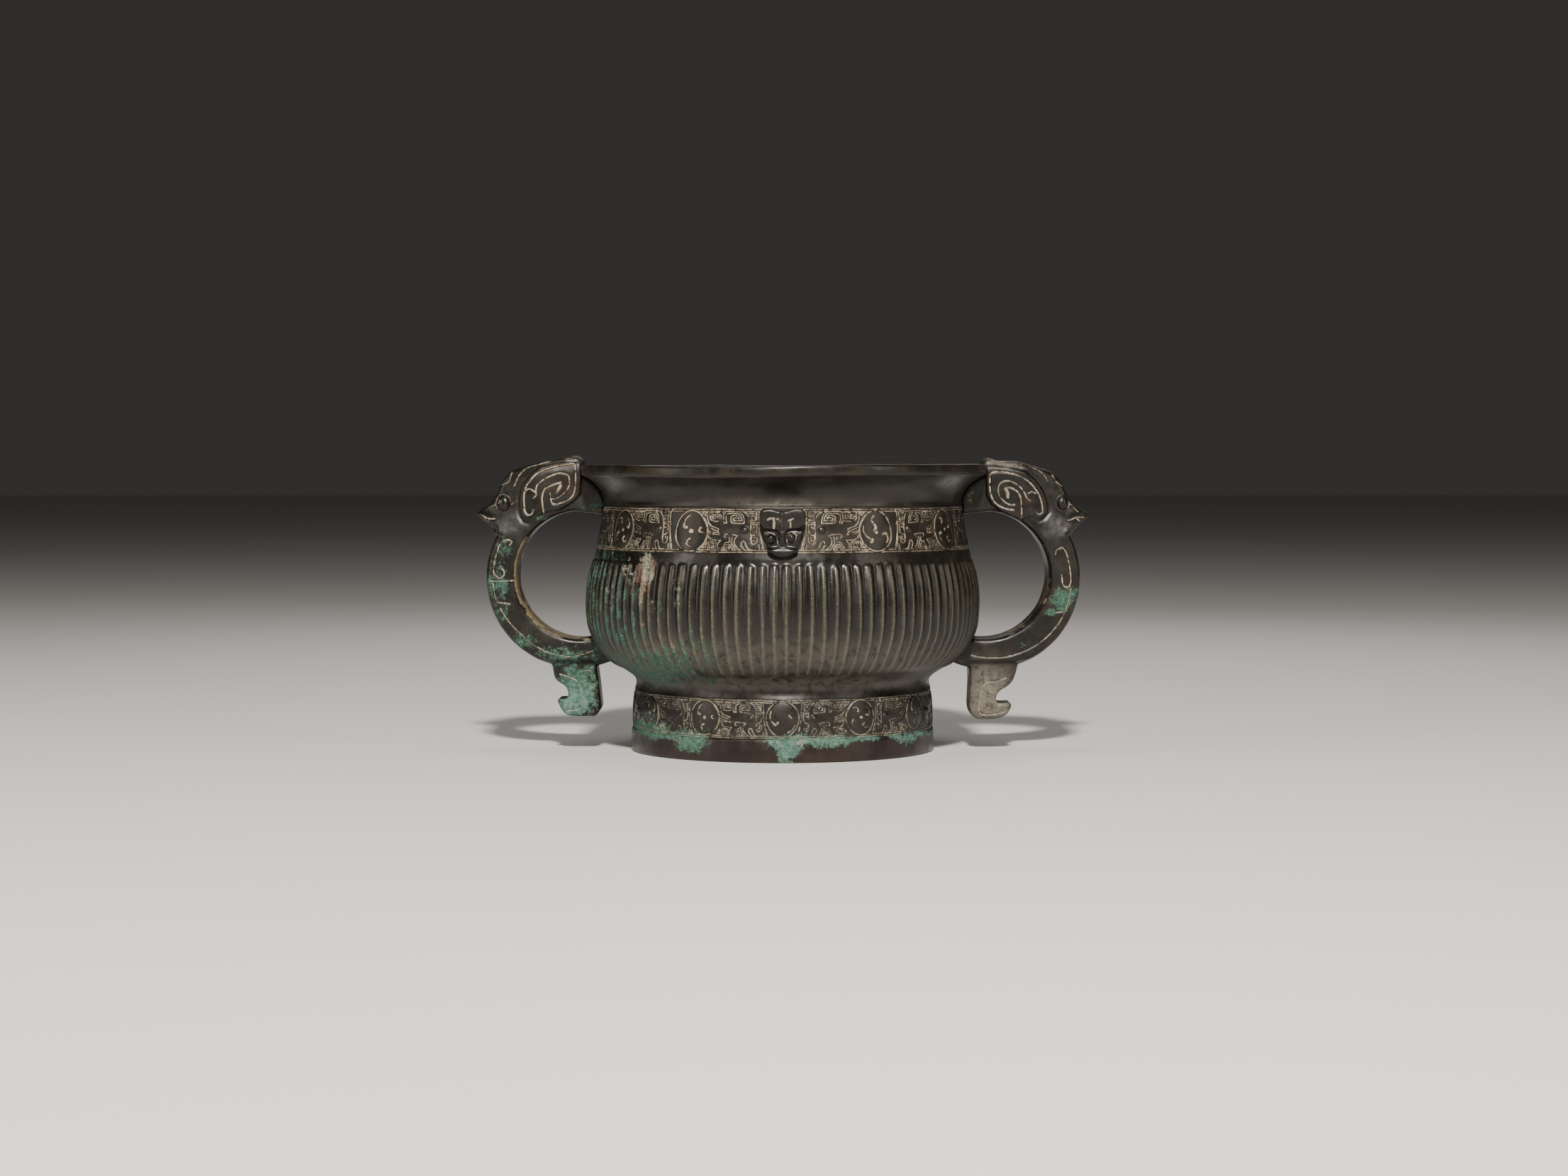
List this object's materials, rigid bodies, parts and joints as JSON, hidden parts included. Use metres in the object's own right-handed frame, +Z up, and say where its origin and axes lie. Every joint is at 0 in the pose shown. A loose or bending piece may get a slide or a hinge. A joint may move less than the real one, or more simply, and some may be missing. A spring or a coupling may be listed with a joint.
{
  "type": "bronze gui food vessel",
  "caption": "Round bronze food vessel with a ribbed belly, bands of dragons and whorl roundels, a ring foot, and loop handles ending in bird heads above and hooked pendants below.",
  "frame": {"origin": "middle of the foot ring's underside, on the surface that the vessel stands on", "axes": "+Z up along the vessel's axis, X through the two handles, the front with its bovine mask faces -Y"},
  "size_m": [0.31, 0.208, 0.1494],
  "materials": {
    "bronze": "cast bronze with a dark brown-black patina, green in places, cream mineral in the grooves"
  },
  "bodies": {
    "root": {"gui_vessel": "bronze"}
  },
  "joints": []
}
